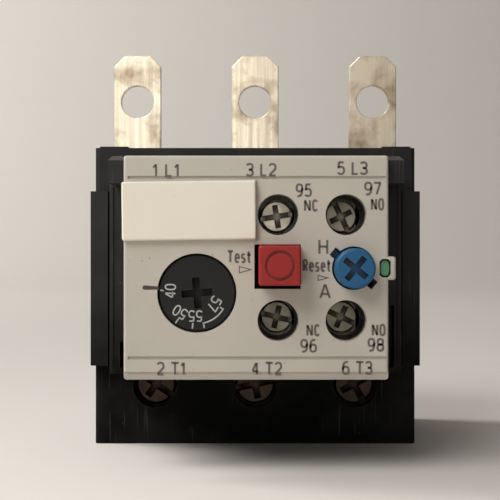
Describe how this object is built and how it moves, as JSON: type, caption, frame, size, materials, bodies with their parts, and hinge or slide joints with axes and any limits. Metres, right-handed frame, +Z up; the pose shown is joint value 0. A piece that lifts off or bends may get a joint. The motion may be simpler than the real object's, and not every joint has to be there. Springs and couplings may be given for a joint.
{
  "type": "thermal overload relay",
  "caption": "Box-shaped motor overload relay with flat line lugs, screw load terminals, setting dial, test and reset buttons and a trip indicator.",
  "frame": {"origin": "centre of the bounding box at the underside of the base housing", "axes": "+X across the poles to the right, +Y to the back, +Z up to the line lugs"},
  "size_m": [0.0808, 0.095, 0.0979],
  "materials": {
    "black_plastic": "fine-grained black moulding",
    "grey_plastic": "warm light grey moulding, satin",
    "white_tag": "off-white marking tag, satin",
    "dial_plastic": "dark moulding with printed scale",
    "red_plastic": "red moulding, satin gloss",
    "blue_plastic": "blue moulding, satin gloss",
    "green_plastic": "green moulding",
    "inner_plastic": "natural moulding of the inner mechanism",
    "tinned_brass": "tin plated, brushed",
    "heater_alloy": "resistance alloy strip",
    "bimetal": "rolled bimetal strip",
    "zinc_steel": "zinc plated steel"
  },
  "bodies": {
    "root": {"base_housing": "black_plastic", "rear_cover": "black_plastic", "rear_cover_screws": "zinc_steel", "front_housing": "black_plastic", "front_plate": "grey_plastic", "marking_tag": "white_tag", "rocker_pin": "zinc_steel", "trip_lever_pin": "zinc_steel", "test_spring": "zinc_steel", "reset_spring": "zinc_steel", "line_lug_left": "tinned_brass", "line_lug_middle": "tinned_brass", "line_lug_right": "tinned_brass", "heater_strip_left": "heater_alloy", "heater_strip_middle": "heater_alloy", "heater_strip_right": "heater_alloy", "bimetal_strip_left": "bimetal", "bimetal_strip_middle": "bimetal", "bimetal_strip_right": "bimetal", "load_terminal_left": "tinned_brass", "load_terminal_middle": "tinned_brass", "load_terminal_right": "tinned_brass", "auxiliary_bar_95": "tinned_brass", "auxiliary_bar_96": "tinned_brass", "auxiliary_bar_97": "tinned_brass", "auxiliary_bar_98": "tinned_brass"},
    "dial": {"setting_dial": "dial_plastic", "dial_spindle": "inner_plastic"},
    "adjuster": {"adjusting_slide": "inner_plastic", "compensation_strip": "bimetal"},
    "test": {"test_button": "red_plastic"},
    "carrier": {"contact_carrier": "inner_plastic", "opening_bridge": "tinned_brass", "closing_bridge": "tinned_brass"},
    "rocker": {"trip_rocker": "inner_plastic"},
    "indicator": {"trip_indicator": "green_plastic"},
    "reset_stem": {"reset_plunger": "inner_plastic"},
    "reset_cap": {"reset_button": "blue_plastic"},
    "trip_comb": {"trip_slider": "inner_plastic"},
    "lever": {"trip_lever": "inner_plastic"},
    "clamp_load_left": {"load_clamp_left": "zinc_steel"},
    "screw_load_left": {"load_screw_left": "zinc_steel"},
    "clamp_load_middle": {"load_clamp_middle": "zinc_steel"},
    "screw_load_middle": {"load_screw_middle": "zinc_steel"},
    "clamp_load_right": {"load_clamp_right": "zinc_steel"},
    "screw_load_right": {"load_screw_right": "zinc_steel"},
    "clamp_aux_95": {"clamp_washer_95": "zinc_steel"},
    "screw_aux_95": {"auxiliary_screw_95": "zinc_steel"},
    "clamp_aux_96": {"clamp_washer_96": "zinc_steel"},
    "screw_aux_96": {"auxiliary_screw_96": "zinc_steel"},
    "clamp_aux_97": {"clamp_washer_97": "zinc_steel"},
    "screw_aux_97": {"auxiliary_screw_97": "zinc_steel"},
    "clamp_aux_98": {"clamp_washer_98": "zinc_steel"},
    "screw_aux_98": {"auxiliary_screw_98": "zinc_steel"}
  },
  "joints": [
    {"name": "dial_turn", "type": "hinge", "parent": "root", "child": "dial", "pos_m": [-0.0126, -0.0405, 0.0392], "axis": [0, 1, 0], "range_deg": [0, 104]},
    {"name": "adjuster_slide", "type": "slide", "parent": "root", "child": "adjuster", "axis": [1, 0, 0], "range_m": [0, 0.0025]},
    {"name": "test_press", "type": "slide", "parent": "root", "child": "test", "axis": [0, 1, 0], "range_m": [0, 0.0025], "stiffness_N_per_m": 300, "springref_m": -0.0015, "deforming": ["test_spring"]},
    {"name": "carrier_slide", "type": "slide", "parent": "root", "child": "carrier", "axis": [0, 1, 0], "range_m": [0, 0.0025]},
    {"name": "rocker_turn", "type": "hinge", "parent": "root", "child": "rocker", "pos_m": [0.0165, -0.002, 0.0446], "axis": [0, 0, 1], "range_deg": [-15, 0]},
    {"name": "indicator_slide", "type": "slide", "parent": "root", "child": "indicator", "axis": [0, -1, 0], "range_m": [0, 0.0028]},
    {"name": "reset_press", "type": "slide", "parent": "root", "child": "reset_stem", "axis": [0, 1, 0], "range_m": [0, 0.002], "stiffness_N_per_m": 250, "springref_m": -0.0012, "deforming": ["reset_spring"]},
    {"name": "reset_select", "type": "hinge", "parent": "reset_stem", "child": "reset_cap", "pos_m": [0.0208, -0.0405, 0.0445], "axis": [0, -1, 0], "range_deg": [0, 74]},
    {"name": "trip_slide", "type": "slide", "parent": "root", "child": "trip_comb", "axis": [1, 0, 0], "range_m": [0, 0.0015]},
    {"name": "lever_turn", "type": "hinge", "parent": "root", "child": "lever", "pos_m": [0.002, -0.0075, 0.0285], "axis": [0, 1, 0], "range_deg": [0, 17.2]},
    {"name": "clamp_load_left_slide", "type": "slide", "parent": "root", "child": "clamp_load_left", "axis": [0, -1, 0], "range_m": [0, 0.004]},
    {"name": "screw_load_left_turn", "type": "hinge", "parent": "clamp_load_left", "child": "screw_load_left", "pos_m": [-0.025, 0.0065, 0.0145], "axis": [0, -1, 0], "range_deg": [0, 1440]},
    {"name": "clamp_load_middle_slide", "type": "slide", "parent": "root", "child": "clamp_load_middle", "axis": [0, -1, 0], "range_m": [0, 0.004]},
    {"name": "screw_load_middle_turn", "type": "hinge", "parent": "clamp_load_middle", "child": "screw_load_middle", "pos_m": [0, 0.0065, 0.0145], "axis": [0, -1, 0], "range_deg": [0, 1440]},
    {"name": "clamp_load_right_slide", "type": "slide", "parent": "root", "child": "clamp_load_right", "axis": [0, -1, 0], "range_m": [0, 0.004]},
    {"name": "screw_load_right_turn", "type": "hinge", "parent": "clamp_load_right", "child": "screw_load_right", "pos_m": [0.025, 0.0065, 0.0145], "axis": [0, -1, 0], "range_deg": [0, 1440]},
    {"name": "clamp_aux_95_slide", "type": "slide", "parent": "root", "child": "clamp_aux_95", "axis": [0, -1, 0], "range_m": [0, 0.0024]},
    {"name": "screw_aux_95_turn", "type": "hinge", "parent": "clamp_aux_95", "child": "screw_aux_95", "pos_m": [0.0047, -0.0257, 0.0559], "axis": [0, -1, 0], "range_deg": [0, 1440]},
    {"name": "clamp_aux_96_slide", "type": "slide", "parent": "root", "child": "clamp_aux_96", "axis": [0, -1, 0], "range_m": [0, 0.0024]},
    {"name": "screw_aux_96_turn", "type": "hinge", "parent": "clamp_aux_96", "child": "screw_aux_96", "pos_m": [0.0047, -0.0257, 0.0333], "axis": [0, -1, 0], "range_deg": [0, 1440]},
    {"name": "clamp_aux_97_slide", "type": "slide", "parent": "root", "child": "clamp_aux_97", "axis": [0, -1, 0], "range_m": [0, 0.0024]},
    {"name": "screw_aux_97_turn", "type": "hinge", "parent": "clamp_aux_97", "child": "screw_aux_97", "pos_m": [0.0192, -0.0257, 0.0559], "axis": [0, -1, 0], "range_deg": [0, 1440]},
    {"name": "clamp_aux_98_slide", "type": "slide", "parent": "root", "child": "clamp_aux_98", "axis": [0, -1, 0], "range_m": [0, 0.0024]},
    {"name": "screw_aux_98_turn", "type": "hinge", "parent": "clamp_aux_98", "child": "screw_aux_98", "pos_m": [0.0192, -0.0257, 0.0333], "axis": [0, -1, 0], "range_deg": [0, 1440]}
  ],
  "couplings": [
    {"joint": "dial_turn", "follows": "adjuster_slide", "rad_per_m": 726.05},
    {"joint": "carrier_slide", "follows": "test_press", "ratio": 1},
    {"joint": "rocker_turn", "follows": "test_press", "rad_per_m": -101.01},
    {"joint": "indicator_slide", "follows": "test_press", "ratio": 1.1111},
    {"joint": "lever_turn", "follows": "trip_slide", "rad_per_m": 200},
    {"joint": "screw_load_left_turn", "follows": "clamp_load_left_slide", "rad_per_m": 6283.1},
    {"joint": "screw_load_middle_turn", "follows": "clamp_load_middle_slide", "rad_per_m": 6283.1},
    {"joint": "screw_load_right_turn", "follows": "clamp_load_right_slide", "rad_per_m": 6283.1},
    {"joint": "screw_aux_95_turn", "follows": "clamp_aux_95_slide", "rad_per_m": 10472},
    {"joint": "screw_aux_96_turn", "follows": "clamp_aux_96_slide", "rad_per_m": 10472},
    {"joint": "screw_aux_97_turn", "follows": "clamp_aux_97_slide", "rad_per_m": 10472},
    {"joint": "screw_aux_98_turn", "follows": "clamp_aux_98_slide", "rad_per_m": 10472}
  ]
}
